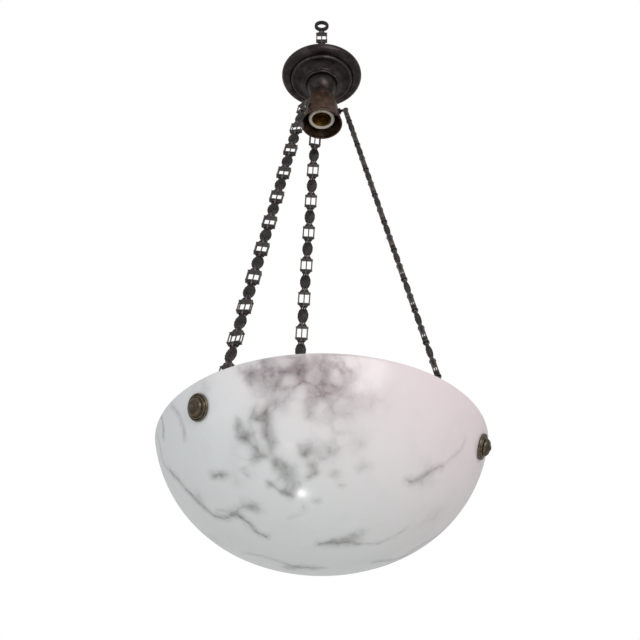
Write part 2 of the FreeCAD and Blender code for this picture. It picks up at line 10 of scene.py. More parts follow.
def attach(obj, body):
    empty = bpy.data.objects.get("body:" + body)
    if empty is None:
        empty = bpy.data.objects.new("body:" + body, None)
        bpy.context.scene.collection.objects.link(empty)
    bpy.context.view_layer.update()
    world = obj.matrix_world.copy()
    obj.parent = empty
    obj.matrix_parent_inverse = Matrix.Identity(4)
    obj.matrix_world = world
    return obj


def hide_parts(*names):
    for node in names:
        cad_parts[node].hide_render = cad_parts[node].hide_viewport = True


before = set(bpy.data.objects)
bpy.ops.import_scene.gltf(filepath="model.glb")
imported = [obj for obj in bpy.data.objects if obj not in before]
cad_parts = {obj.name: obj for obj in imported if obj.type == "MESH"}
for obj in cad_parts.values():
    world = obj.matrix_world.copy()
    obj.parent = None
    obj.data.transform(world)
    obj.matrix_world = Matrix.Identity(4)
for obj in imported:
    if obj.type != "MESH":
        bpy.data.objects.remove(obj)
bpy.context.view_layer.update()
print("frame loaded,", len(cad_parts), "nodes")

mm = 0.001
scene = bpy.context.scene
scene.view_settings.view_transform = "Standard"

# camera: below the lamp and in front of it, looking up
camera = {
    "place": (0.0, -1.0944, -1.3784),
    "pitch": 36.383,            # degrees above level
    "lens": 61.55,
    "shift": (-0.0026, 0.0043),
    "film": 36.0,               # width of the sensor in mm
    "picture": 640.0,           # width and height of the picture in pixels
}
cameraData = bpy.data.cameras.new("camera")
cameraData.lens = camera["lens"]
cameraData.shift_x, cameraData.shift_y = camera["shift"]
cameraData.clip_start = 0.05
cameraObject = bpy.data.objects.new("camera", cameraData)
cameraObject.location = camera["place"]
cameraObject.rotation_euler = (math.radians(90.0 + camera["pitch"]), 0.0, 0.0)
scene.collection.objects.link(cameraObject)
scene.camera = cameraObject


def photoRay(x, y):
    # direction from the camera through a point of the picture
    wide, scale = camera["picture"], camera["film"] / camera["lens"]
    across = (x / wide - 0.5 + camera["shift"][0]) * scale
    up = (0.5 - y / wide + camera["shift"][1]) * scale
    tilt = Matrix.Rotation(math.radians(90.0 + camera["pitch"]), 3, "X")
    return (tilt @ Vector((across, up, -1.0))).normalized()


def toLinear(hexText, alpha=1.0):
    parts = [int(hexText[i:i + 2], 16) / 255.0 for i in (1, 3, 5)]
    return [p / 12.92 if p <= 0.04045 else ((p + 0.055) / 1.055) ** 2.4 for p in parts] + [alpha]


def addNode(tree, kind, settings, links=()):
    # settings go to a socket of that name or number, or to the node itself; links are (socket, node, output)
    node = tree.nodes.new("ShaderNode" + kind)
    for key, value in settings.items():
        if key == "stops":
            while len(node.color_ramp.elements) < len(value):
                node.color_ramp.elements.new(0.5)
            for element, (place, colour) in zip(node.color_ramp.elements, value):
                element.position = place
                element.color = toLinear(colour)
        elif isinstance(key, int) or key in node.inputs:
            node.inputs[key].default_value = value
        else:
            setattr(node, key, value)
    for socket, source, output in links:
        tree.links.new(source.outputs[output], node.inputs[socket])
    return node


def startMaterial(name, settings):
    material = bpy.data.materials.new(name)
    material.use_nodes = True
    tree = material.node_tree
    shader = tree.nodes["Principled BSDF"]
    for key, value in settings.items():
        shader.inputs[key].default_value = value
    return material, tree, shader


def arcPoints(start, middle, end, steps):
    # points of the circle through three profile points, the first left out
    (ax, ay), (bx, by), (cx, cy) = start, middle, end
    d = 2.0 * (ax * (by - cy) + bx * (cy - ay) + cx * (ay - by))
    a2, b2, c2 = ax * ax + ay * ay, bx * bx + by * by, cx * cx + cy * cy
    ux = (a2 * (by - cy) + b2 * (cy - ay) + c2 * (ay - by)) / d
    uy = (a2 * (cx - bx) + b2 * (ax - cx) + c2 * (bx - ax)) / d
    radius = math.hypot(ax - ux, ay - uy)
    first = math.atan2(ay - uy, ax - ux)
    turn = math.atan2(cy - uy, cx - ux) - first
    through = math.atan2(by - uy, bx - ux) - first
    while turn <= -math.pi:
        turn += 2.0 * math.pi
    while turn > math.pi:
        turn -= 2.0 * math.pi
    if math.cos(through - turn / 2.0) < math.cos(turn / 2.0):
        turn -= math.copysign(2.0 * math.pi, turn)
    angles = [first + turn * i / steps for i in range(1, steps + 1)]
    return [(ux + radius * math.cos(angle), uy + radius * math.sin(angle)) for angle in angles]


def spinProfile(bm, points, steps, place=Matrix.Identity(4), closed=False):
    # points are (radius, height) in millimetres, turned about Z and then set in place
    known = set(bm.verts)
    line = [bm.verts.new((radius * mm, 0.0, height * mm)) for radius, height in points]
    pairs = list(zip(line, line[1:]))
    if closed:
        pairs.append((line[-1], line[0]))
    edges = [bm.edges.new(pair) for pair in pairs]
    bmesh.ops.spin(bm, geom=line + edges, cent=(0, 0, 0), axis=(0, 0, 1), dvec=(0, 0, 0),
                   angle=2.0 * math.pi, steps=steps, use_merge=True)
    bmesh.ops.remove_doubles(bm, verts=[v for v in bm.verts if v not in known], dist=1e-7)
    made = [v for v in bm.verts if v not in known]
    bmesh.ops.transform(bm, matrix=place, verts=made)
    return made


def addRing(bm, radius, wire, place, steps=28, around=12):
    # a round wire bent to a ring about its own Z axis
    turns = [2.0 * math.pi * i / around for i in range(around)]
    section = [(radius + wire * math.cos(t), wire * math.sin(t)) for t in turns]
    return spinProfile(bm, section, steps, place, closed=True)


def markWearAndSheen(bm, gain=1.6, passes=2):
    # ridges get a value above 0, used for rubbed wear together with a painted highlight, and hollows below,
    # from how the neighbours of a vertex lie
    bm.normal_update()
    bm.verts.ensure_lookup_table()
    value = []
    for vert in bm.verts:
        lean = 0.0
        for edge in vert.link_edges:
            step = edge.other_vert(vert).co - vert.co
            if step.length > 1e-9:
                lean -= step.normalized().dot(vert.normal)
        value.append(max(-1.0, min(1.0, gain * lean / max(1, len(vert.link_edges)))))
    bm.verts.index_update()
    for _ in range(passes):
        value = [(value[v.index] + sum(value[e.other_vert(v).index] for e in v.link_edges))
                 / (1 + len(v.link_edges)) for v in bm.verts]
    layer = bm.verts.layers.float.get("wear") or bm.verts.layers.float.new("wear")
    for vert in bm.verts:
        vert[layer] = value[vert.index]


def meshOf(bm, name, sharp=40.0):
    mesh = bpy.data.meshes.new(name)
    bm.to_mesh(mesh)
    bm.free()
    mesh.shade_smooth()
    mesh.set_sharp_from_angle(angle=math.radians(sharp))
    return mesh


def addPiece(bm, name, material, body, nodes, sharp=40.0, wear=True):
    bmesh.ops.remove_doubles(bm, verts=bm.verts, dist=1e-7)
    bmesh.ops.recalc_face_normals(bm, faces=bm.faces)
    if wear:
        markWearAndSheen(bm)
    piece = bpy.data.objects.new(name, meshOf(bm, name, sharp))
    piece.data.materials.append(material)
    scene.collection.objects.link(piece)
    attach(piece, body)
    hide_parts(*nodes)
    return piece


def repeated(mesh, places):
    bm = bmesh.new()
    for place in places:
        known = set(bm.verts)
        bm.from_mesh(mesh)
        bmesh.ops.transform(bm, matrix=place, verts=[v for v in bm.verts if v not in known])
    return bm


def patinaMetal(name, values):
    # cast or turned metal: a chemical patina in soft blotches, thick in hollows; ridges are painted lighter,
    # partly as rubbed wear and partly as a painted highlight
    material, tree, shader = startMaterial(name, {"Metallic": values["metallic"]})
    place = addNode(tree, "TexCoord", {})
    blotch = addNode(tree, "TexNoise", {"Scale": 1.0 / (values["blotch"] * mm), "Detail": 4.0,
                                        "Roughness": 0.62}, [("Vector", place, "Object")])
    speck = addNode(tree, "TexNoise", {"Scale": 1.0 / (values["grain"] * mm), "Detail": 2.0},
                    [("Vector", place, "Object")])
    body = addNode(tree, "ValToRGB", {"stops": [(0.32, values["dark"]), (0.52, values["body"]),
                                               (0.70, values["light"])]}, [("Fac", blotch, "Fac")])
    # convexity of the mesh: above 0 on ridges, below 0 in hollows
    wear = addNode(tree, "Attribute", {"attribute_name": "wear"})
    roughWear = addNode(tree, "Math", {"operation": "MULTIPLY_ADD", 1: 0.5, 2: -0.25}, [(0, speck, "Fac")])
    level = addNode(tree, "Math", {"operation": "ADD"}, [(0, wear, "Fac"), (1, roughWear, 0)])
    # ridge mask: painted lighter, partly rubbed wear and partly a painted highlight
    ridgeWearSheen = addNode(tree, "MapRange", {"From Min": values["wearSheenFrom"], "From Max": values["wearSheenTo"],
                                       "To Max": values["wearSheenMost"]}, [("Value", level, 0)])
    hollow = addNode(tree, "MapRange", {"From Min": -0.04, "From Max": -0.30, "To Max": 0.9},
                     [("Value", level, 0)])
    # lays the lighter ridge colour, rubbed wear with a painted highlight, over the patina
    rubbedAndSheen = addNode(tree, "Mix", {"data_type": "RGBA", 7: toLinear(values["wornAndSheen"])},
                     [(0, ridgeWearSheen, 0), (6, body, "Color")])
    colour = addNode(tree, "Mix", {"data_type": "RGBA", 7: toLinear(values["hollow"])},
                     [(0, hollow, 0), (6, rubbedAndSheen, 2)])
    gloss = addNode(tree, "MapRange", {"From Min": 0.3, "From Max": 0.7, "To Min": values["rough"] - 0.07,
                                       "To Max": values["rough"] + 0.09}, [("Value", blotch, "Fac")])
    polish = addNode(tree, "Math", {"operation": "MULTIPLY_ADD", 1: -0.10}, [(0, ridgeWearSheen, 0), (2, gloss, 0)])
    bump = addNode(tree, "Bump", {"Strength": values["bump"], "Distance": 0.25 * mm},
                   [("Height", speck, "Fac")])
    tree.links.new(colour.outputs[2], shader.inputs["Base Color"])
    tree.links.new(polish.outputs[0], shader.inputs["Roughness"])
    tree.links.new(bump.outputs[0], shader.inputs["Normal"])
    return material


# dark bronze, cast links and a turned canopy: nearly black brown, mauve-brown on ridges, where it is rubbed
# and where a highlight is painted
darkBronze = patinaMetal("darkPatinatedBronze", {
    "dark": "#211d1d", "body": "#383231", "light": "#524846", "wornAndSheen": "#85797a", "hollow": "#0f0d0d",
    "metallic": 0.85, "rough": 0.35, "blotch": 14.0, "grain": 1.0, "bump": 0.12,
    "wearSheenFrom": 0.08, "wearSheenTo": 0.40, "wearSheenMost": 0.8})
# the same bronze on the chains, greyer and duller
chainBronze = patinaMetal("chainCastBronze", {
    "dark": "#1f1d1d", "body": "#353232", "light": "#4b4646", "wornAndSheen": "#7b7471", "hollow": "#0d0c0c",
    "metallic": 0.7, "rough": 0.47, "blotch": 6.0, "grain": 0.7, "bump": 0.35,
    "wearSheenFrom": 0.06, "wearSheenTo": 0.35, "wearSheenMost": 0.75})
# brown bronze of the bell-shaped cover: spun sheet, warm brown
brownBronze = patinaMetal("brownSpunBronze", {
    "dark": "#3a2b23", "body": "#594337", "light": "#745b4b", "wornAndSheen": "#957e6c", "hollow": "#171210",
    "metallic": 0.7, "rough": 0.42, "blotch": 11.0, "grain": 0.9, "bump": 0.15,
    "wearSheenFrom": 0.10, "wearSheenTo": 0.45, "wearSheenMost": 0.6})
# aged brass of the rosettes: turned, brown in the hollows and olive gold on ridges, partly rubbed wear and
# partly a painted highlight
agedBrass = patinaMetal("agedTurnedBrass", {
    "dark": "#2c2519", "body": "#4a4033", "light": "#6a6050", "wornAndSheen": "#9a907c", "hollow": "#1e1713",
    "metallic": 0.8, "rough": 0.34, "blotch": 4.0, "grain": 0.8, "bump": 0.2,
    "wearSheenFrom": 0.05, "wearSheenTo": 0.40, "wearSheenMost": 0.85})
# plain brass of the lampholder's shell: pressed sheet, a little dulled, yellow glints
shellBrass = patinaMetal("pressedShellBrass", {
    "dark": "#6a5026", "body": "#8d6d33", "light": "#a5823f", "wornAndSheen": "#c9a961", "hollow": "#4a3518",
    "metallic": 1.0, "rough": 0.42, "blotch": 14.0, "grain": 4.0, "bump": 0.02,
    "wearSheenFrom": 0.15, "wearSheenTo": 0.60, "wearSheenMost": 0.4})
# zinc plated steel of the small screws and nuts: barrel plated, fine grey grain
platedSteel = patinaMetal("zincPlatedSteel", {
    "dark": "#6d6e6f", "body": "#87888a", "light": "#9c9d9f", "wornAndSheen": "#b9babb", "hollow": "#3c3c3d",
    "metallic": 1.0, "rough": 0.36, "blotch": 3.0, "grain": 0.3, "bump": 0.1,
    "wearSheenFrom": 0.10, "wearSheenTo": 0.50, "wearSheenMost": 0.5})


def glazedPorcelain():
    # glazed white porcelain: pressed and fired, cream with a clear glassy skin and a few kiln specks
    material, tree, shader = startMaterial("glazedPorcelain", {
        "Roughness": 0.16, "IOR": 1.5, "Coat Weight": 0.6, "Coat Roughness": 0.06})
    place = addNode(tree, "TexCoord", {})
    cloud = addNode(tree, "TexNoise", {"Scale": 1.0 / (7.0 * mm), "Detail": 3.0},
                    [("Vector", place, "Object")])
    speck = addNode(tree, "TexVoronoi", {"Scale": 1.0 / (2.4 * mm)}, [("Vector", place, "Object")])
    dot = addNode(tree, "MapRange", {"From Min": 0.05, "From Max": 0.10, "To Min": 0.5, "To Max": 0.0},
                  [("Value", speck, "Distance")])
    cream = addNode(tree, "ValToRGB", {"stops": [(0.3, "#c6beb0"), (0.7, "#dbd5ca")]},
                    [("Fac", cloud, "Fac")])
    colour = addNode(tree, "Mix", {"data_type": "RGBA", 7: toLinear("#8b8170")}, [(0, dot, 0), (6, cream, 0)])
    tree.links.new(colour.outputs[2], shader.inputs["Base Color"])
    return material


def pressedFelt():
    # wool felt: pressed fibres, dark brown, no gloss
    material, tree, shader = startMaterial("pressedWoolFelt", {"Roughness": 0.95, "Sheen Weight": 0.4})
    place = addNode(tree, "TexCoord", {})
    fibre = addNode(tree, "TexNoise", {"Scale": 1.0 / (0.5 * mm), "Detail": 5.0},
                    [("Vector", place, "Object")])
    colour = addNode(tree, "ValToRGB", {"stops": [(0.3, "#231e1a"), (0.7, "#463d36")]},
                     [("Fac", fibre, "Fac")])
    bump = addNode(tree, "Bump", {"Strength": 0.6, "Distance": 0.3 * mm}, [("Height", fibre, "Fac")])
    tree.links.new(colour.outputs[0], shader.inputs["Base Color"])
    tree.links.new(bump.outputs[0], shader.inputs["Normal"])
    return material


porcelain = glazedPorcelain()
felt = pressedFelt()
print("metals, porcelain and felt ready")

canopyCup = {
    "rim": -113.0, "radius": 59.0, "neckBottom": -157.7, "hole": 10.5, "segments": 160,
}


def canopyProfile():
    z, r = canopyCup["rim"], canopyCup["radius"]
    low, hole = canopyCup["neckBottom"], canopyCup["hole"]
    points = [(r - 0.5, z - 0.1), (r - 0.1, z - 0.4), (r, z - 1.0), (r, z - 3.2)]
    points += arcPoints((r, z - 3.2), (55.8, z - 8.0), (50.0, z - 9.6), 12)
    points += arcPoints((50.0, z - 9.6), (47.6, z - 9.4), (46.2, z - 8.4), 5)
    points += [(45.9, z - 8.4), (45.6, z - 8.7)]
    points += arcPoints((45.6, z - 8.7), (44.6, z - 11.6), (41.6, z - 12.2), 7)
    points += [(41.3, z - 12.1), (41.0, z - 11.7)]
    points += arcPoints((41.0, z - 11.7), (33.4, z - 13.8), (27.2, z - 19.0), 12)
    points += [(26.8, z - 18.9), (26.4, z - 19.1)]
    points += arcPoints((26.4, z - 19.1), (25.6, z - 21.0), (23.4, z - 21.6), 6)
    points += [(22.9, z - 21.6), (22.0, z - 21.3)]
    points += arcPoints((22.0, z - 21.3), (19.9, z - 32.0), (13.4, z - 40.4), 16)
    points += [(13.4, z - 41.5), (13.4, low + 0.5), (13.0, low + 0.1), (12.6, low)]
    points += [(hole + 0.4, low), (hole, low + 0.4), (hole, z - 39.6)]
    points += arcPoints((hole, z - 39.6), (17.6, z - 31.4), (20.2, z - 19.6), 10)
    points += [(24.6, z - 18.8)]
    points += arcPoints((24.6, z - 18.8), (32.6, z - 12.2), (40.6, z - 9.8), 8)
    points += [(44.2, z - 6.6), (50.0, z - 7.8)]
    points += arcPoints((50.0, z - 7.8), (55.0, z - 6.4), (r - 1.5, z - 2.6), 6)
    points += [(r - 1.5, z - 0.4), (r - 1.2, z - 0.1)]
    return points


bm = bmesh.new()
spinProfile(bm, canopyProfile(), canopyCup["segments"], closed=True)
addPiece(bm, "canopy_cup", darkBronze, "canopy", ["canopy"], sharp=32.0)
print("canopy ready")

bell = {
    "top": -158.0, "height": 59.6, "mouth": 29.3, "wall": 1.4, "hole": 5.1, "bead": 1.1, "segments": 128,
}


def bellProfile():
    z, wall, low = bell["top"], bell["wall"], bell["top"] - bell["height"]
    mouth, bead = bell["mouth"], bell["bead"]
    points = [(bell["hole"], z - wall), (bell["hole"], z), (10.4, z), (11.0, z - 0.1)]
    points += arcPoints((11.0, z - 0.1), (16.9, z - 5.4), (20.4, z - 12.0), 10)
    points += arcPoints((20.4, z - 12.0), (25.2, z - 36.0), (mouth - 0.3, low + 1.4), 18)
    points += arcPoints((mouth - 0.3, low + 1.4), (mouth - 0.7 + bead, low), (mouth - 0.7, low - bead), 7)
    points += arcPoints((mouth - 0.7, low - bead), (mouth - 0.7 - bead, low), (mouth - 1.5, low + 0.9), 6)
    points += arcPoints((mouth - 1.5, low + 0.9), (25.2 - wall, z - 36.0), (20.4 - wall, z - 12.4), 14)
    points += arcPoints((20.4 - wall, z - 12.4), (16.9 - wall, z - 6.1), (11.0 - wall / 2.0, z - wall), 8)
    return points


bm = bmesh.new()
spinProfile(bm, bellProfile(), bell["segments"], closed=True)
addPiece(bm, "holder_bell", brownBronze, "pendant", ["lampholder_cover"], sharp=50.0)
print("bell ready")

holder = {
    "face": -210.0, "radius": 18.8, "lip": 13.9, "sleeveTop": -181.5, "spigotTop": -177.7, "inner": 14.5,
    "shellLow": -208.0, "shellTop": -186.0, "threadTop": -191.0, "crest": 13.3, "root": 12.5, "pitch": 3.63,
}


def sleeveProfile():
    face, r, lip = holder["face"], holder["radius"], holder["lip"]
    inner, seat = holder["inner"], holder["shellTop"] - 0.2
    points = [(15.8, holder["spigotTop"]), (16.6, holder["spigotTop"]), (16.9, holder["spigotTop"] - 0.3),
              (16.9, holder["sleeveTop"]), (r - 0.3, holder["sleeveTop"]), (r, holder["sleeveTop"] - 0.3),
              (r, face + 2.6)]
    points += arcPoints((r, face + 2.6), (18.1, face + 0.7), (16.4, face), 9)
    points += arcPoints((16.4, face), (14.6, face + 0.6), (lip, face + 2.4), 9)
    points += [(lip, face + 4.2), (lip + 0.2, face + 4.4), (inner - 0.2, face + 4.4), (inner, face + 4.6),
               (inner, seat), (15.8, seat)]
    return points


def threadedShell():
    # rolled screw shell: a plain sheet tube first, then its wall is pushed in and out along the thread
    thick = 0.35
    bm = bmesh.new()
    low, top, crest = holder["shellLow"], holder["threadTop"], holder["crest"]
    rows = 60
    inner = [(crest, low + (top - low) * i / rows) for i in range(rows + 1)]
    outer = [(crest + thick, z) for _, z in reversed(inner)]
    end = holder["shellTop"]
    neck = [(12.95, top + 0.6), (12.95, end - 0.5), (8.4, end - 0.5), (8.4, end), (13.35, end),
            (13.35, top + 0.7)]
    spinProfile(bm, inner + neck + outer, 96, closed=True)
    depth = holder["crest"] - holder["root"]
    for vert in bm.verts:
        z = vert.co.z / mm
        if z < top + 0.01:
            turn = math.atan2(vert.co.y, vert.co.x)
            fade = min(1.0, (z - low) / 1.5, (top - z) / 1.5)
            wave = 0.5 - 0.5 * math.cos(turn - 2.0 * math.pi * z / holder["pitch"])
            radius = math.hypot(vert.co.x, vert.co.y)
            keep = (radius - depth * mm * max(0.0, fade) * wave) / radius
            vert.co.x *= keep
            vert.co.y *= keep
    return bm


bm = bmesh.new()
spinProfile(bm, sleeveProfile(), 128, closed=True)
addPiece(bm, "porcelain_collar", porcelain, "pendant", ["porcelain_sleeve"], sharp=50.0,
         wear=False)
addPiece(threadedShell(), "rolled_shell", shellBrass, "pendant", ["screw_shell"], sharp=75.0,
         wear=False)
print("lampholder ready")

chain = {
    "pitch": 25.75, "wire": 1.3, "hook": 1.45, "start": 35.5, "startZ": -200.6, "tilt": 12.3477, "links": 22,
    "turns": {"left": -134.5, "right": -15.6, "far": 104.9}, "topZ": -15.05, "ring": 3.0,
    "twistIn": 15.0, "twistOut": 6.0, "twistMost": {"left": 45.0, "right": 0.0, "far": -15.0},
}
lantern = {
    "shoulder": (3.5, 8.6, 8.4), "plate": 0.8, "edge": 0.22, "foot": 8.2, "depth": 3.3, "mouth": 5.2,
    "mouthZ": 12.4, "lowMouthZ": 9.9, "wall": 0.9, "sweep": 0.45, "bar": 0.85, "barPlace": (2.5, 7.4),
    "flutes": 14, "flute": 0.16,
}
leaf = {
    "halfWidth": 7.5, "halfDepth": 4.0, "endZ": 9.5, "endHalfWidth": 4.7, "endHalfDepth": 1.8,
    "strands": 10, "lay": 1.1, "strandDepth": 0.42,
}
hookZ = chain["pitch"] / 2.0 + chain["hook"]
acrossX = Matrix.Rotation(math.radians(90.0), 4, "Y")     # ring whose axis is X
acrossY = Matrix.Rotation(math.radians(90.0), 4, "X")     # ring whose axis is Y


def addRoof(bm, mouthZ, way):
    # hollow roof with an open mouth; its sections are rounded rectangles that narrow upwards
    top = lantern["shoulder"][2]
    roofHeight = lantern["mouthZ"] - top
    foot, slope = top - lantern["plate"] / 2.0, (lantern["foot"] - lantern["mouth"]) / roofHeight
    heights = [foot + (mouthZ - 0.25 - foot) * i / 7 for i in range(8)]
    spun = 20.0         # radius it is turned at, before it is pressed to its own section
    outside = [(spun, z) for z in heights] + [(spun - 0.25, mouthZ), (spun - 0.65, mouthZ)]
    inside = [(spun - lantern["wall"], z) for z in reversed(heights)]
    for vert in spinProfile(bm, outside + inside, 56, closed=True):
        high = vert.co.z / mm
        inset = spun - math.hypot(vert.co.x, vert.co.y) / mm
        turn = math.atan2(vert.co.y, vert.co.x)
        rise = max(0.0, high - top)
        bow = lantern["sweep"] * math.sin(math.pi * min(1.0, rise / roofHeight))
        flute = lantern["flute"] * (0.5 - 0.5 * math.cos(lantern["flutes"] * turn)) if inset < 0.5 else 0.0
        halfY = lantern["foot"] - slope * rise - bow - inset - flute
        halfX = lantern["depth"] - 0.5 * bow - inset - flute
        vert.co.x = math.copysign(abs(math.cos(turn)) ** 0.5, math.cos(turn)) * halfX * mm
        vert.co.y = math.copysign(abs(math.sin(turn)) ** 0.5, math.sin(turn)) * halfY * mm
        vert.co.z = way * high * mm


def lanternMesh(name, topRing, topMouth):
    # two hollow roofs on shoulder plates, five bars between them and a ring at each end
    bm = bmesh.new()
    halfX, halfY, top = lantern["shoulder"]
    for way, mouthZ in ((1.0, topMouth), (-1.0, lantern["mouthZ"])):
        addRoof(bm, mouthZ, way)
        middle = Matrix.Translation((0, 0, way * (top - lantern["plate"] / 2.0) * mm))
        size = Matrix.Diagonal((2.0 * halfX * mm, 2.0 * halfY * mm, lantern["plate"] * mm, 1.0))
        plate = bmesh.ops.create_cube(bm, size=1.0, matrix=middle @ size)["verts"]
        bmesh.ops.bevel(bm, geom=list({e for v in plate for e in v.link_edges}), offset=lantern["edge"] * mm,
                        segments=2, affect="EDGES", profile=0.5)
    barX, barY = lantern["barPlace"]
    for x, y in ((0, 0), (barX, barY), (barX, -barY), (-barX, barY), (-barX, -barY)):
        bmesh.ops.create_cone(bm, cap_ends=True, segments=12, radius1=lantern["bar"] * mm,
                              radius2=lantern["bar"] * mm, depth=(2.0 * top - lantern["plate"]) * mm,
                              matrix=Matrix.Translation((x * mm, y * mm, 0)))
    ringZ = (hookZ - chain["ring"]) * mm
    addRing(bm, chain["ring"], chain["wire"], Matrix.Translation((0, 0, ringZ)) @ topRing)
    addRing(bm, chain["ring"], chain["wire"], Matrix.Translation((0, 0, -ringZ)) @ acrossY)
    bmesh.ops.recalc_face_normals(bm, faces=bm.faces)
    markWearAndSheen(bm)
    return meshOf(bm, name)


def leafMesh():
    # a pod flattened to a leaf, with rope-like strands running round it, and an eyelet at each end
    bm = bmesh.new()
    end, half = leaf["endZ"], leaf["halfWidth"]
    side = [(leaf["endHalfWidth"], -end)]
    side += arcPoints(side[0], (half, 0.0), (leaf["endHalfWidth"], end), 40)
    made = spinProfile(bm, [(0.0, -end), (2.6, -end)] + side + [(2.6, end), (0.0, end)], 80)
    for vert in made:
        z = max(-1.0, min(1.0, vert.co.z / mm / end))
        width = leaf["endHalfWidth"] + (half - leaf["endHalfWidth"]) * (1.0 - z * z)
        depth = leaf["endHalfDepth"] + (leaf["halfDepth"] - leaf["endHalfDepth"]) * (1.0 - z * z)
        turn = math.atan2(vert.co.y, vert.co.x)
        groove = 0.5 - 0.5 * math.cos(leaf["strands"] * (turn + leaf["lay"] * z))
        groove *= leaf["strandDepth"] * min(1.0, math.hypot(vert.co.x, vert.co.y) / mm / 4.0)
        vert.co.x = vert.co.x * depth / width - math.cos(turn) * groove * mm
        vert.co.y -= math.sin(turn) * groove * mm
    for way in (1.0, -1.0):
        spot = Matrix.Translation((0, 0, way * (hookZ - chain["ring"]) * mm))
        addRing(bm, chain["ring"], chain["wire"], spot @ acrossX)
    bmesh.ops.recalc_face_normals(bm, faces=bm.faces)
    markWearAndSheen(bm)
    return meshOf(bm, "leaf_link")


def chainPlace(side, i):
    # middle of link i of a hanging chain; the links turn a little, one past the other
    tilt = math.radians(chain["tilt"])
    distance = (i + 0.5) * chain["pitch"]
    most = chain["twistMost"][side]
    twist = min(chain["twistIn"] * i, abs(most), chain["twistOut"] * (chain["links"] - i))
    radius, height = distance * math.sin(tilt), distance * math.cos(tilt)
    spot = Vector((chain["start"] + radius, 0.0, chain["startZ"] - height)) * mm
    about = Matrix.Rotation(math.radians(chain["turns"][side]), 4, "Z")
    lean = Matrix.Rotation(-tilt, 4, "Y") @ Matrix.Rotation(math.radians(math.copysign(twist, most)), 4, "Z")
    return about @ Matrix.Translation(spot) @ lean


plainLantern = lanternMesh("lantern_link", acrossY, lantern["mouthZ"])
lowLantern = lanternMesh("low_lantern_link", acrossY, lantern["lowMouthZ"])
turnedLantern = lanternMesh("turned_lantern_link", acrossX, lantern["lowMouthZ"])
leafLink = leafMesh()
for side in chain["turns"]:
    middles = {i: chainPlace(side, i) for i in range(chain["links"])}
    addPiece(repeated(turnedLantern, [middles[0]]), side + "_first_lantern", chainBronze, side + "_chain",
             [side + "_chain_top_link"], wear=False)
    addPiece(repeated(plainLantern, [middles[i] for i in middles if i and i % 2 == 0]), side + "_lanterns",
             chainBronze, side + "_chain", [side + "_chain_lantern_links"], wear=False)
    addPiece(repeated(leafLink, [middles[i] for i in middles if i % 2]), side + "_leaves", chainBronze,
             side + "_chain", [side + "_chain_leaf_links"], wear=False)
topNodes = [("top_lantern_link_upper", "top_link"), ("top_leaf_link_upper", "pendant"),
            ("top_lantern_link_lower", "pendant"), ("top_leaf_link_lower", "pendant")]
for i, (node, body) in enumerate(topNodes):
    middle = Matrix.Translation((0, 0, (chain["topZ"] - (i + 0.5) * chain["pitch"]) * mm))
    place = middle @ Matrix.Rotation(math.radians(90.0), 4, "Z")
    link = leafLink if i % 2 else plainLantern if i else lowLantern
    addPiece(repeated(link, [place]), "dressed_" + node, chainBronze, body, [node], wear=False)
print("chains ready")

rosette = {
    "segments": 96,
    "profile": [(13.2, -0.2), (14.0, -0.2), (14.4, 0.0), (14.75, 0.35), (14.9, 0.8), (14.9, 1.3),
                (14.8, 1.75), (14.5, 2.2), (14.0, 2.45), (13.5, 2.4), (13.1, 2.2), (12.8, 2.05),
                (12.6, 2.25), (12.4, 2.7), (12.2, 3.1), (11.9, 3.45), (11.5, 3.6), (11.1, 3.55),
                (10.8, 3.35), (10.5, 3.05), (10.3, 3.15), (10.1, 3.5), (9.8, 3.66), (9.4, 3.7),
                (2.6, 3.7), (2.6, 0.8), (13.2, 0.8)],
    "knob": [(0.0, 8.0), (2.6, 8.0), (2.6, 3.8), (8.9, 3.8), (9.25, 3.95), (9.5, 4.3), (9.6, 4.8),
             (9.55, 5.4), (9.3, 6.05), (8.85, 6.75), (8.1, 7.45), (7.1, 8.1), (5.9, 8.6), (4.7, 9.0),
             (3.6, 9.25), (3.1, 9.35), (2.9, 9.5), (2.75, 9.85), (2.5, 10.1), (2.0, 10.4), (1.4, 10.58),
             (0.7, 10.68), (0.0, 10.7)],
}
bowl = {
    "rim": -748.7, "depth": 136.6, "bottomArc": 233.0, "sideArc": 155.0, "join": 28.8, "wall": 9.0,
    "lip": 2.2, "boltDrop": 28.0, "segments": 512, "rowsOutside": 120, "rowsInside": 44,
    "skin": 0.08,       # how far the outside lies within the solid it dresses
}


def bowlCentres():
    bottomZ = bowl["rim"] - bowl["depth"] + bowl["bottomArc"]
    turn = math.radians(bowl["join"])
    step = bowl["bottomArc"] - bowl["sideArc"]
    return bottomZ, step * math.sin(turn), bottomZ - step * math.cos(turn)


def boltPlace(turn):
    # local Z runs outwards along the bolt from the outside of the wall
    _, sideX, sideZ = bowlCentres()
    tilt = math.asin((sideZ - bowl["rim"] + bowl["boltDrop"]) / bowl["sideArc"])
    spot = Vector((sideX + bowl["sideArc"] * math.cos(tilt), 0.0, bowl["rim"] - bowl["boltDrop"])) * mm
    about = Matrix.Rotation(math.radians(turn), 4, "Z")
    return about @ Matrix.Translation(spot) @ Matrix.Rotation(math.radians(90.0) + tilt, 4, "Y")


knobs = bmesh.new()
for side, turn in chain["turns"].items():
    bm = bmesh.new()
    spinProfile(bm, rosette["profile"], rosette["segments"], boltPlace(turn), closed=True)
    addPiece(bm, side + "_turned_rosette", agedBrass, "bowl", [side + "_rosette"], sharp=60.0)
    spinProfile(knobs, rosette["knob"], 64, boltPlace(turn))
addPiece(knobs, "domed_knobs", agedBrass, "bowl", ["rosette_knob_nuts"], sharp=60.0)
print("rosettes ready")


def arcRow(centreX, centreZ, radius, fromDeg, toDeg, steps):
    turns = [math.radians(fromDeg + (toDeg - fromDeg) * i / steps) for i in range(steps + 1)]
    return [(centreX + radius * math.sin(t), centreZ - radius * math.cos(t)) for t in turns]


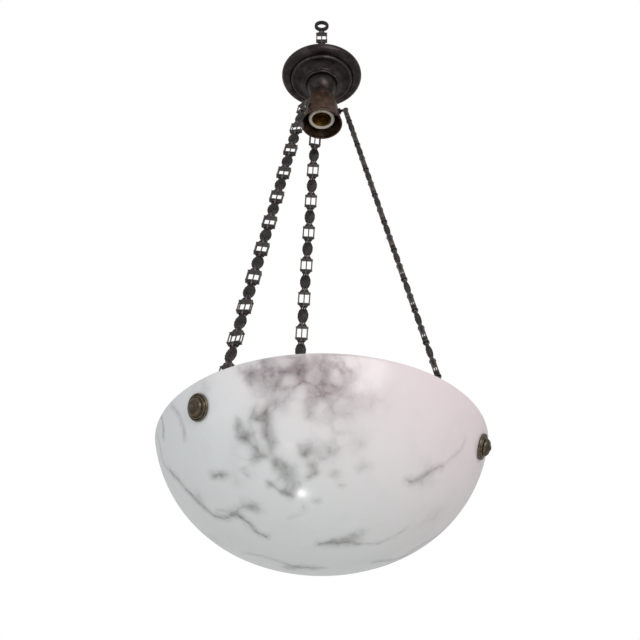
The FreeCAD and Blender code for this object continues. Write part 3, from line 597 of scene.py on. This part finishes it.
def bowlProfile():
    bottomZ, sideX, sideZ = bowlCentres()
    rim, lip, wall, join = bowl["rim"], bowl["lip"], bowl["wall"], bowl["join"]

    def surface(inset, rows):
        bottomR, sideR = bowl["bottomArc"] - inset, bowl["sideArc"] - inset
        rimDeg = 180.0 - math.degrees(math.acos((rim - lip - sideZ) / sideR))
        share = int(rows * 0.45)
        bottom = arcRow(0.0, bottomZ, bottomR, 0.0, join, share)
        return bottom + arcRow(sideX, sideZ, sideR, join, rimDeg, rows - share)[1:]

    outside = surface(bowl["skin"], bowl["rowsOutside"])
    inside = surface(wall, bowl["rowsInside"])
    outerR, innerR = outside[-1][0], inside[-1][0]
    lips = []
    for i in range(1, 7):
        t = math.radians(15.0 * i)
        lips.append((outerR - lip + lip * math.cos(t), rim - lip + lip * math.sin(t)))
    for i in range(0, 6):
        t = math.radians(90.0 - 15.0 * i)
        lips.append((innerR + lip - lip * math.cos(t), rim - lip + lip * math.sin(t)))
    return outside + lips + inside[::-1]


# drawn on the picture: (points), width in mm at its widest, strength, warmth (0 grey, 1 mauve-brown)
stone = {
    "veins": [
        ([(170, 471), (177, 478), (183, 486), (193, 497), (203, 507), (213, 515), (224, 518), (235, 513),
          (244, 519), (252, 527), (259, 533), (266, 536)], 2.4, 0.62, 0.1),
        ([(232, 513), (238, 509), (246, 507), (254, 506)], 2.2, 0.35, 0.1),
        ([(218, 511), (228, 511), (238, 512)], 1.8, 0.30, 0.0),
        ([(172, 404), (179, 416), (183, 426), (185, 439)], 1.8, 0.42, 0.1),
        ([(161, 416), (164, 428), (163, 436)], 1.8, 0.60, 0.1),
        ([(157, 434), (160, 446), (162, 459), (168, 470)], 2.0, 0.45, 0.1),
        ([(213, 476), (220, 475), (226, 475)], 2.2, 0.50, 0.0),
        ([(320, 544), (330, 544), (341, 542), (352, 542), (360, 543)], 2.6, 0.55, 0.1),
        ([(360, 543), (371, 544), (382, 542), (393, 538), (405, 529)], 1.8, 0.32, 0.0),
        ([(406, 480), (418, 481), (427, 475), (438, 468), (443, 465)], 2.2, 0.46, 0.0),
        ([(443, 465), (456, 455), (462, 447), (464, 440)], 1.6, 0.24, 0.1),
        ([(302, 501), (304, 510), (297, 516), (288, 519)], 1.6, 0.20, 0.0),
        ([(315, 501), (320, 501)], 1.6, 0.40, 0.0),
        ([(338, 485), (343, 486)], 1.4, 0.30, 0.0),
        ([(236, 421), (238, 431), (243, 438), (252, 444), (259, 449)], 2.0, 0.34, 0.2),
        ([(275, 384), (276, 397), (275, 408), (268, 416)], 1.8, 0.40, 0.8),
        ([(277, 387), (288, 387)], 1.6, 0.30, 0.9),
        ([(257, 405), (250, 418)], 2.0, 0.24, 0.3),
        ([(266, 410), (268, 424), (267, 436), (271, 444)], 2.6, 0.34, 0.3),
        ([(276, 459), (275, 470)], 1.8, 0.42, 0.1),
        ([(281, 462), (287, 470), (286, 482), (287, 495)], 2.2, 0.26, 0.1),
        ([(270, 483), (279, 490), (287, 496), (293, 489)], 1.8, 0.36, 0.1),
        ([(312, 466), (314, 472), (309, 477)], 1.8, 0.42, 0.1),
        ([(239, 367), (246, 374), (252, 384)], 2.6, 0.36, 0.9),
        ([(312, 357), (317, 364), (326, 368)], 1.8, 0.30, 1.0),
        ([(302, 353), (299, 361), (303, 372)], 2.0, 0.26, 1.0),
        ([(306, 404), (312, 411), (309, 417)], 2.0, 0.26, 0.6),
        ([(306, 448), (304, 454)], 2.4, 0.30, 0.1),
    ],
    # soft grey or mauve clouds: (x, y, radius in mm, strength, warmth)
    "clouds": [
        (301, 376, 17, 0.50, 1.0), (313, 390, 14, 0.46, 1.0), (284, 366, 20, 0.34, 1.0),
        (262, 366, 17, 0.40, 0.9), (249, 374, 9, 0.42, 0.8), (330, 366, 20, 0.34, 1.0),
        (345, 362, 17, 0.30, 1.0), (336, 384, 22, 0.34, 1.0), (278, 385, 18, 0.34, 0.9),
        (262, 384, 12, 0.24, 0.8), (322, 404, 18, 0.26, 0.9), (346, 398, 20, 0.26, 0.9),
        (372, 396, 18, 0.12, 0.9), (310, 357, 22, 0.26, 1.0), (283, 401, 12, 0.34, 0.7),
        (268, 412, 10, 0.42, 0.4), (259, 417, 10, 0.40, 0.2), (266, 431, 9, 0.50, 0.3),
        (269, 445, 8, 0.56, 0.2), (252, 433, 11, 0.26, 0.1), (243, 437, 7, 0.46, 0.0),
        (238, 424, 6, 0.34, 0.0), (257, 447, 9, 0.34, 0.1), (256, 458, 7, 0.46, 0.1),
        (263, 455, 7, 0.40, 0.1), (277, 463, 8, 0.42, 0.1), (287, 472, 10, 0.36, 0.1),
        (289, 484, 10, 0.44, 0.1), (287, 493, 7, 0.48, 0.1), (298, 486, 8, 0.32, 0.1),
        (270, 483, 6, 0.34, 0.1), (313, 470, 7, 0.42, 0.1), (307, 450, 8, 0.42, 0.1),
        (320, 454, 12, 0.34, 0.2), (333, 449, 8, 0.28, 0.2), (342, 428, 18, 0.14, 0.5),
        (254, 507, 9, 0.40, 0.1), (247, 503, 6, 0.30, 0.1), (346, 541, 11, 0.46, 0.1),
        (358, 535, 8, 0.46, 0.1), (331, 543, 8, 0.36, 0.1), (234, 512, 8, 0.34, 0.1),
        (200, 499, 9, 0.24, 0.1), (220, 475, 6, 0.40, 0.0), (213, 476, 5, 0.30, 0.0),
        (247, 471, 6, 0.44, 0.0), (235, 480, 9, 0.12, 0.0), (362, 467, 8, 0.16, 0.0),
        (334, 474, 7, 0.22, 0.0), (360, 442, 10, 0.14, 0.2), (430, 473, 13, 0.18, 0.1),
        (418, 481, 9, 0.16, 0.1), (203, 392, 15, 0.14, 0.7), (309, 411, 8, 0.20, 0.5),
        (216, 540, 14, 0.14, 0.1), (240, 455, 16, 0.10, 0.0),
    ],
    # the same stone goes on round the bowl: the seen pattern again, turned and weaker
    "again": [(0.0, 1.0), (180.0, 0.8)],
    "wander": [(75.0, 3.2), (210.0, 1.5)],      # waves per metre, and how far in mm the veins stray
    # a blush of pink on the right of the rim, fading to the left
    "blushTowards": (0.62, -0.30, 0.72), "blushMiddle": (0.0, 0.0, -0.80), "blushReach": 0.19,
    "blushLevel": (0.18, 1.05),
    # how fast a cloud fades outwards, and how overlapping clouds are kept from piling up to black
    "cloudFade": 1.2, "cloudGain": 1.7, "cloudMost": 0.68,
}


def paintStone(mesh):
    # writes smooth numbers to the bowl's vertices, from which the material draws veins and clouds
    tree = BVHTree.FromPolygons([v.co.copy() for v in mesh.vertices], [p.vertices[:] for p in mesh.polygons])
    eye = Vector(camera["place"])

    def onBowl(x, y):
        return tree.ray_cast(eye, photoRay(x, y))[0]

    count = len(mesh.vertices)
    spots = np.zeros(count * 3)
    mesh.vertices.foreach_get("co", spots)
    spots = spots.reshape(-1, 3)
    # the veins wander: every place is looked up a few millimetres away from where it is
    (waves, far), (ripples, near) = stone["wander"]
    wander = [noise.noise_vector(v.co * waves) * far + noise.noise_vector(v.co * ripples) * near
              for v in mesh.vertices]
    spots = spots + np.array([w[:] for w in wander]) * mm
    reach = np.full(count, 9.0)         # vein widths to the nearest vein, 9 where none is near
    tone = np.zeros(count)
    warmVein = np.zeros(count)
    cloud = np.zeros(count)
    warmCloud = np.zeros(count)
    for turn, share in stone["again"]:
        about = Matrix.Rotation(math.radians(turn), 3, "Z")
        for points, width, strength, warmth in stone["veins"]:
            line = [about @ p for p in (onBowl(x, y) for x, y in points) if p]
            for a, b in zip(line, line[1:]):
                a, run = np.array(a), np.array(b - a)
                t = np.clip(((spots - a) @ run) / (run @ run), 0.0, 1.0)
                gap = np.linalg.norm(spots - a - t[:, None] * run, axis=1) / (width * mm)
                closer = gap < reach
                reach[closer] = gap[closer]
                tone[closer] = strength * share
                warmVein[closer] = warmth
        for x, y, radius, strength, warmth in stone["clouds"]:
            middle = onBowl(x, y)
            if middle is None:
                continue
            gap = np.linalg.norm(spots - np.array(about @ middle), axis=1) / (radius * mm)
            blob = strength * share * np.exp(-stone["cloudFade"] * gap ** 2)
            warmCloud += blob * warmth
            cloud += blob
    warmCloud = warmCloud / np.maximum(cloud, 1e-4)
    cloud = stone["cloudMost"] * (1.0 - np.exp(-stone["cloudGain"] * cloud))
    lean = (spots - np.array(stone["blushMiddle"])) @ np.array(stone["blushTowards"]) / stone["blushReach"]
    level, rise = stone["blushLevel"]
    blush = np.clip(level + rise * lean, 0.0, 1.0)
    for name, values in (("reach", reach), ("tone", tone), ("warmVein", warmVein), ("cloud", cloud),
                         ("warmCloud", warmCloud), ("blush", blush)):
        layer = mesh.attributes.new(name, "FLOAT", "POINT")
        layer.data.foreach_set("value", values.astype(np.float32))


def polishedAlabaster():
    # alabaster: turned and polished gypsum, milky white with grey and mauve veins below a waxy gloss
    material, tree, shader = startMaterial("polishedAlabaster", {
        "IOR": 1.52, "Subsurface Weight": 0.12, "Subsurface Scale": 0.02,
        "Subsurface Radius": (1.0, 0.85, 0.75)})
    place = addNode(tree, "TexCoord", {})
    warpNoise = addNode(tree, "TexNoise", {"Scale": 1.0 / (22.0 * mm), "Detail": 3.0},
                        [("Vector", place, "Object")])
    warpShift = addNode(tree, "VectorMath", {"operation": "MULTIPLY_ADD", 1: (0.016, 0.016, 0.016),
                                             2: (-0.008, -0.008, -0.008)}, [(0, warpNoise, "Color")])
    warped = addNode(tree, "VectorMath", {"operation": "ADD"}, [(0, place, "Object"), (1, warpShift, 0)])
    # round pale grains, about 17 mm across, with darker seams between them
    grains = addNode(tree, "TexVoronoi", {"feature": "SMOOTH_F1", "Scale": 1.0 / (17.0 * mm),
                                          "Smoothness": 0.2}, [("Vector", warped, 0)])
    seams = addNode(tree, "MapRange", {"interpolation_type": "SMOOTHSTEP", "From Min": 0.18, "From Max": 0.60,
                                       "To Min": 0.58, "To Max": 1.30}, [("Value", grains, "Distance")])
    drift = addNode(tree, "TexNoise", {"Scale": 1.0 / (30.0 * mm), "Detail": 5.0, "Roughness": 0.6},
                    [("Vector", warped, 0)])
    driftLevel = addNode(tree, "MapRange", {"From Min": 0.38, "From Max": 0.62, "To Min": 0.7,
                                            "To Max": 1.25}, [("Value", drift, "Fac")])
    cloud = addNode(tree, "Attribute", {"attribute_name": "cloud"})
    cloudSeams = addNode(tree, "Math", {"operation": "MULTIPLY"}, [(0, cloud, "Fac"), (1, seams, 0)])
    cloudBody = addNode(tree, "Math", {"operation": "MULTIPLY"}, [(0, cloudSeams, 0), (1, driftLevel, 0)])
    fray = addNode(tree, "TexNoise", {"Scale": 1.0 / (7.0 * mm), "Detail": 4.0, "Roughness": 0.65},
                   [("Vector", place, "Object")])
    # thin dark joints between the grains, broken by the fray
    joints = addNode(tree, "TexVoronoi", {"feature": "DISTANCE_TO_EDGE", "Scale": 1.0 / (17.0 * mm)},
                     [("Vector", warped, 0)])
    jointLine = addNode(tree, "MapRange", {"interpolation_type": "SMOOTHSTEP", "From Min": 0.16,
                                           "From Max": 0.0, "To Max": 0.5}, [("Value", joints, "Distance")])
    jointBreak = addNode(tree, "MapRange", {"From Min": 0.44, "From Max": 0.60}, [("Value", fray, "Fac")])
    jointDark = addNode(tree, "Math", {"operation": "MULTIPLY"}, [(0, jointLine, 0), (1, jointBreak, 0)])
    jointShare = addNode(tree, "Math", {"operation": "MULTIPLY"}, [(0, jointDark, 0), (1, cloud, "Fac")])
    cloudDark = addNode(tree, "Math", {"operation": "ADD", "use_clamp": True},
                        [(0, cloudBody, 0), (1, jointShare, 0)])
    frayShift = addNode(tree, "Math", {"operation": "MULTIPLY_ADD", 1: 2.4, 2: -1.2}, [(0, fray, "Fac")])
    reach = addNode(tree, "Attribute", {"attribute_name": "reach"})
    frayed = addNode(tree, "Math", {"operation": "ADD"}, [(0, reach, "Fac"), (1, frayShift, 0)])
    # a broken dark core and a wide soft halo make each vein
    broken = addNode(tree, "MapRange", {"From Min": 0.42, "From Max": 0.58, "To Min": 0.25, "To Max": 1.0},
                     [("Value", fray, "Fac")])
    core = addNode(tree, "MapRange", {"interpolation_type": "SMOOTHSTEP", "From Min": 1.5, "From Max": 0.0,
                                      "To Max": 0.85}, [("Value", frayed, 0)])
    coreDark = addNode(tree, "Math", {"operation": "MULTIPLY"}, [(0, core, 0), (1, broken, 0)])
    halo = addNode(tree, "MapRange", {"interpolation_type": "SMOOTHSTEP", "From Min": 4.2, "From Max": 0.0,
                                      "To Max": 0.42}, [("Value", frayed, 0)])
    line = addNode(tree, "Math", {"operation": "ADD"}, [(0, coreDark, 0), (1, halo, 0)])
    tone = addNode(tree, "Attribute", {"attribute_name": "tone"})
    lineDark = addNode(tree, "Math", {"operation": "MULTIPLY"}, [(0, line, 0), (1, tone, "Fac")])
    # faint drifts everywhere in the stone
    haze = addNode(tree, "MapRange", {"From Min": 0.50, "From Max": 0.80, "To Max": 0.16},
                   [("Value", drift, "Fac")])
    blush = addNode(tree, "Attribute", {"attribute_name": "blush"})
    ground = addNode(tree, "Mix", {"data_type": "RGBA", 6: toLinear("#e9edee"), 7: toLinear("#ebdde1")},
                     [(0, blush, "Fac")])
    hazed = addNode(tree, "Mix", {"data_type": "RGBA", 7: toLinear("#c2c2c3")},
                    [(0, haze, 0), (6, ground, 2)])
    warmCloud = addNode(tree, "Attribute", {"attribute_name": "warmCloud"})
    cloudTint = addNode(tree, "Mix", {"data_type": "RGBA", 6: toLinear("#6d6e6d"), 7: toLinear("#83757a")},
                        [(0, warmCloud, "Fac")])
    clouded = addNode(tree, "Mix", {"data_type": "RGBA"},
                      [(0, cloudDark, 0), (6, hazed, 2), (7, cloudTint, 2)])
    warmVein = addNode(tree, "Attribute", {"attribute_name": "warmVein"})
    veinTint = addNode(tree, "Mix", {"data_type": "RGBA", 6: toLinear("#5d5d5a"), 7: toLinear("#6c585a")},
                       [(0, warmVein, "Fac")])
    veined = addNode(tree, "Mix", {"data_type": "RGBA"},
                     [(0, lineDark, 0), (6, clouded, 2), (7, veinTint, 2)])
    gloss = addNode(tree, "MapRange", {"From Min": 0.3, "From Max": 0.7, "To Min": 0.15, "To Max": 0.21},
                    [("Value", drift, "Fac")])
    swell = addNode(tree, "TexNoise", {"Scale": 1.0 / (16.0 * mm), "Detail": 1.0},
                    [("Vector", place, "Object")])
    bump = addNode(tree, "Bump", {"Strength": 0.08, "Distance": 0.4 * mm}, [("Height", swell, "Fac")])
    tree.links.new(veined.outputs[2], shader.inputs["Base Color"])
    tree.links.new(gloss.outputs[0], shader.inputs["Roughness"])
    tree.links.new(bump.outputs[0], shader.inputs["Normal"])
    return material


alabaster = polishedAlabaster()
bm = bmesh.new()
spinProfile(bm, bowlProfile(), bowl["segments"])
stoneBowl = addPiece(bm, "alabaster_dish", alabaster, "bowl", ["alabaster_bowl"], sharp=60.0,
                     wear=False)
paintStone(stoneBowl.data)
print("bowl ready,", len(stoneBowl.data.polygons), "faces")

nodeFinish = {
    "ceiling_eye": chainBronze, "loop_stem": darkBronze, "cover_lock_nut": shellBrass,
    "lug_nuts": platedSteel, "holder_dome": shellBrass, "holder_set_screw": platedSteel,
    "terminal_insert": porcelain, "centre_contact": shellBrass, "terminal_blocks": shellBrass,
    "terminal_screws": platedSteel, "outer_felt_washers": felt, "inner_felt_washers": felt,
    "inner_disc_washers": agedBrass, "eye_bolt_nuts": platedSteel,
}
for side in chain["turns"]:
    nodeFinish[side + "_chain_lug"] = darkBronze
    nodeFinish[side + "_chain_end_link"] = chainBronze
    nodeFinish[side + "_eye_bolt"] = agedBrass
for node, finish in nodeFinish.items():
    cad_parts[node].data.materials.clear()
    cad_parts[node].data.materials.append(finish)
print("kept nodes finished")

floorFacts = {"height": -1.85, "size": 9.0}
bm = bmesh.new()
bmesh.ops.create_grid(bm, x_segments=8, y_segments=8, size=floorFacts["size"],
                      matrix=Matrix.Translation((0, 0, floorFacts["height"])))
floor = bpy.data.objects.new("floor", meshOf(bm, "floor"))
floorMaterial, floorTree, floorShader = startMaterial("mattFloorPaint", {"Roughness": 0.8})
floorPlace = addNode(floorTree, "TexCoord", {})
floorNoise = addNode(floorTree, "TexNoise", {"Scale": 3.0, "Detail": 3.0}, [("Vector", floorPlace, "Object")])
floorColour = addNode(floorTree, "ValToRGB", {"stops": [(0.3, "#e6e5e3"), (0.7, "#ecebe9")]},
                      [("Fac", floorNoise, "Fac")])
floorTree.links.new(floorColour.outputs[0], floorShader.inputs["Base Color"])
floor.data.materials.append(floorMaterial)
scene.collection.objects.link(floor)

lights = [
    # name, place, aimed at, size in metres, watts, colour
    ("key", (0.7, -1.7, -0.7), (0.0, 0.0, -0.6), 1.2, 13.0, "#fffdfb"),
    ("fill", (-1.6, -0.8, -0.7), (0.0, 0.0, -0.6), 1.4, 3.0, "#f6f9ff"),
    ("under", (-0.17, 0.08, -1.8), (0.0, -0.1, -0.86), 0.06, 0.38, "#ffffff"),
    ("glint", (-0.62, -0.52, -1.40), (-0.05, -0.14, -0.82), 0.04, 0.10, "#ffffff"),
    ("spark", (-0.31, -0.54, -1.56), (-0.03, -0.12, -0.82), 0.03, 0.08, "#ffffff"),
    ("high", (0.1, 1.2, 1.4), (0.0, 0.0, -0.4), 1.2, 4.0, "#ffffff"),
]
for name, place, target, size, watts, colour in lights:
    lamp = bpy.data.lights.new(name, "AREA")
    lamp.shape = "DISK"
    lamp.size = size
    lamp.energy = watts
    lamp.color = toLinear(colour)[:3]
    lampObject = bpy.data.objects.new(name, lamp)
    lampObject.location = place
    lampObject.rotation_euler = (Vector(target) - Vector(place)).to_track_quat("-Z", "Y").to_euler()
    lampObject.visible_camera = False
    scene.collection.objects.link(lampObject)

world = bpy.data.worlds.new("studio")
scene.world = world
world.use_nodes = True
sky = world.node_tree
sky.nodes.clear()
seen = addNode(sky, "Background", {"Color": (1.0, 1.0, 1.0, 1.0), "Strength": 1.0})
lit = addNode(sky, "Background", {"Color": (1.0, 1.0, 1.0, 1.0), "Strength": 0.54})
path = addNode(sky, "LightPath", {})
both = addNode(sky, "MixShader", {}, [(0, path, "Is Camera Ray"), (1, lit, 0), (2, seen, 0)])
addNode(sky, "OutputWorld", {}, [("Surface", both, 0)])
print("stage ready")
